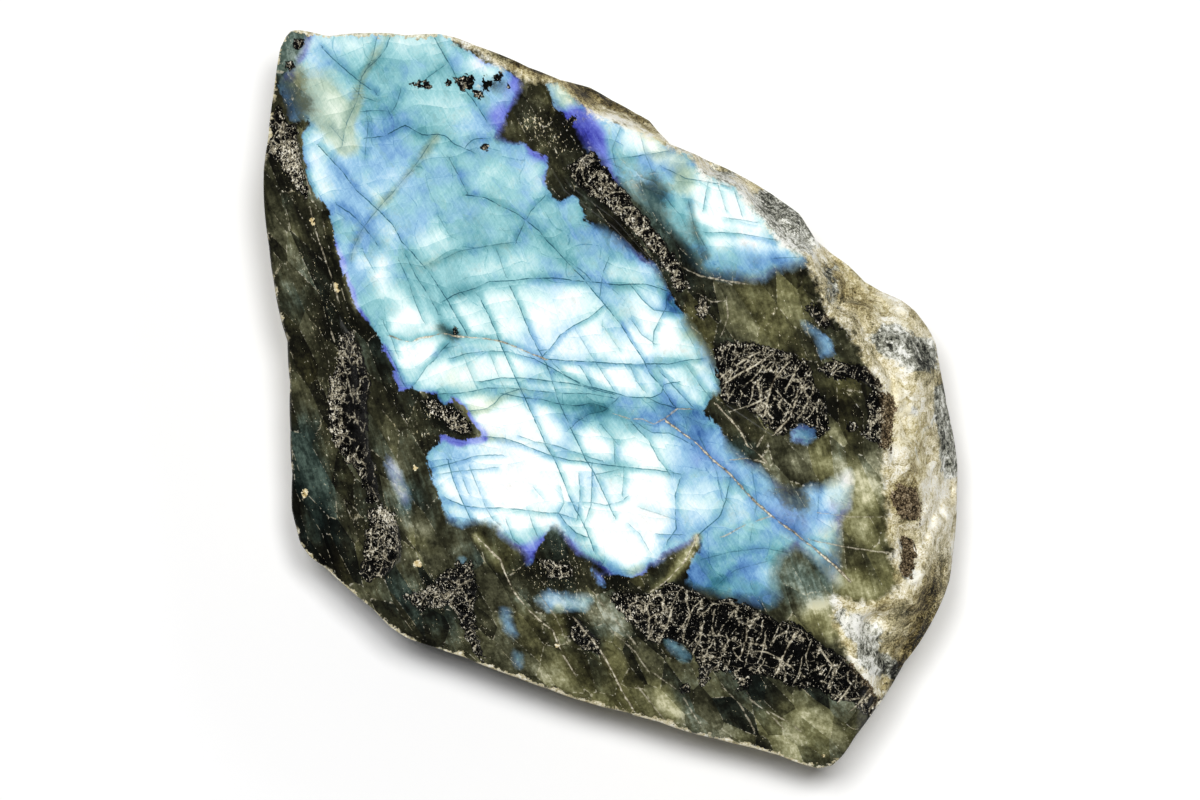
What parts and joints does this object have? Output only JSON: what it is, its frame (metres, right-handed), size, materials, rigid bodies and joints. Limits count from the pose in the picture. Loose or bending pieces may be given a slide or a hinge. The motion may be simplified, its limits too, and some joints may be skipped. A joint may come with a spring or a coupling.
{
  "type": "labradorite chunk",
  "caption": "Rough chunk of labradorite with one polished face, lying on its flat back, for display.",
  "frame": {"origin": "middle of the stone's footprint, on the flat back that it rests on", "axes": "+Z out of the polished face, +Y towards the face's pointed upper left end, +X towards the rough rind"},
  "size_m": [0.0876, 0.0928, 0.0366],
  "materials": {
    "labradorite": "polished face with a blue and aqua flash, olive-grey polished bevels, rough cream and grey rind"
  },
  "bodies": {
    "root": {"labradorite_chunk": "labradorite"}
  },
  "joints": []
}
